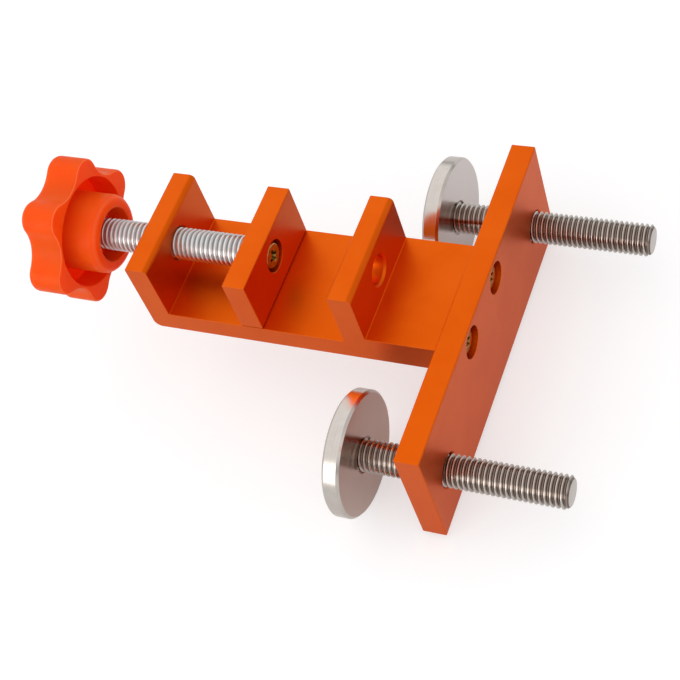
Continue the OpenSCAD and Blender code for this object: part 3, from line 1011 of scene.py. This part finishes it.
def make_knob_insert():
    low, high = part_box("knob_insert")
    piece = turned("knob_insert_bush", [
        (low.x, THREAD_HOLE_R), (low.x, high.y), (high.x, high.y, INSERT_ROUND),
        (high.x, THREAD_HOLE_R)], closed=True)
    smooth(piece)
    dress(piece, "knob_insert")


make_clamp_body()
make_cross_plate()
make_movable_jaw()
make_spindle()
make_studs()
make_discs()
for screw in ("jaw_screw", "plate_screw_near", "plate_screw_far"):
    make_small_screw(screw)
make_jaw_washer()
make_knob()
make_knob_insert()


# Camera at the photograph's angle

PHOTO_WIDTH = 680
FOCAL_PIXELS = 1613.57
SENSOR = 36
camera_data = bpy.data.cameras.new("camera")
camera_data.sensor_width = SENSOR
camera_data.lens = FOCAL_PIXELS * SENSOR / PHOTO_WIDTH
camera = bpy.data.objects.new("camera", camera_data)
bpy.context.scene.collection.objects.link(camera)
camera.matrix_world = Matrix((
    (0.90956, -0.14101, 0.39092, 143.777 * MM),
    (0.33367, 0.80854, -0.48469, -194.43 * MM),
    (-0.24772, 0.57129, 0.78247, 281.271 * MM),
    (0, 0, 0, 1)))
bpy.context.scene.camera = camera

# Floor, lights and world

FLOOR_SIZE = 4
FLOOR_COLOR = (0.55, 0.55, 0.55)
# Light that the floor adds for the camera, so that it is white where nothing shades it,
# and the smaller share of it that the metals see
FLOOR_FOR_CAMERA = 0.53
FLOOR_FOR_GLOSS = 0.24


def make_floor():
    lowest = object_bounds()[0].z
    deselect()
    bpy.ops.mesh.primitive_plane_add(size=FLOOR_SIZE, location=(0, 0, lowest))
    floor = bpy.context.object
    floor.name = "floor"
    material = bpy.data.materials.new("pale_floor")
    material.use_nodes = True
    tree, shader = material.node_tree, material.node_tree.nodes["Principled BSDF"]
    shader.inputs["Base Color"].default_value = (*FLOOR_COLOR, 1)
    shader.inputs["Roughness"].default_value = 0.9
    shader.inputs["Specular IOR Level"].default_value = 0
    shader.inputs["Emission Color"].default_value = (1, 1, 1, 1)
    path = add_node(tree, "LightPath").outputs
    mirrored = calc(tree, "ADD", path["Is Glossy Ray"], path["Is Transmission Ray"])
    seen = calc(tree, "MULTIPLY", path["Is Camera Ray"], FLOOR_FOR_CAMERA)
    added = calc(tree, "MULTIPLY_ADD", mirrored, FLOOR_FOR_GLOSS, seen)
    tree.links.new(added, shader.inputs["Emission Strength"])
    floor.data.materials.append(material)


# Brightness of the studio from the horizon up to the ceiling, and the heights, as shares
# of the way up, between which it rises
HORIZON = 0.4
CEILING = 1.03
RISE = (0.02, 0.32)
# A dimmer part of the ceiling and the long lamp in front. Each has the way to its middle,
# how close to that way it begins and is full, as cosines, and what it adds
DIM_PART = (Vector((0.5, 0.42, 0.75)).normalized(), 0.70, 0.93, -0.36)
FRONT_LAMP = (Vector((-0.39, -0.91, 0.1)).normalized(), 0.83, 0.96, 1.9)


def make_studio():
    world = bpy.data.worlds.new("studio")
    world.use_nodes = True
    bpy.context.scene.world = world
    tree = world.node_tree
    way = add_node(tree, "TexCoord").outputs["Generated"]
    height = add_node(tree, "SeparateXYZ", {0: way}).outputs["Z"]
    level = ramp(tree, height, *RISE, HORIZON, CEILING, interpolation_type="SMOOTHSTEP")
    for middle, start, full, change in (DIM_PART, FRONT_LAMP):
        toward = add_node(tree, "VectorMath", {0: way, 1: middle},
                          operation="DOT_PRODUCT").outputs["Value"]
        patch = ramp(tree, toward, start, full, high=change, interpolation_type="SMOOTHSTEP")
        level = calc(tree, "ADD", level, patch)
    tree.links.new(level, tree.nodes["Background"].inputs["Strength"])
    tree.nodes["Background"].inputs["Color"].default_value = (1, 1, 1, 1)


make_floor()
make_studio()

bpy.context.scene.view_settings.view_transform = "Standard"
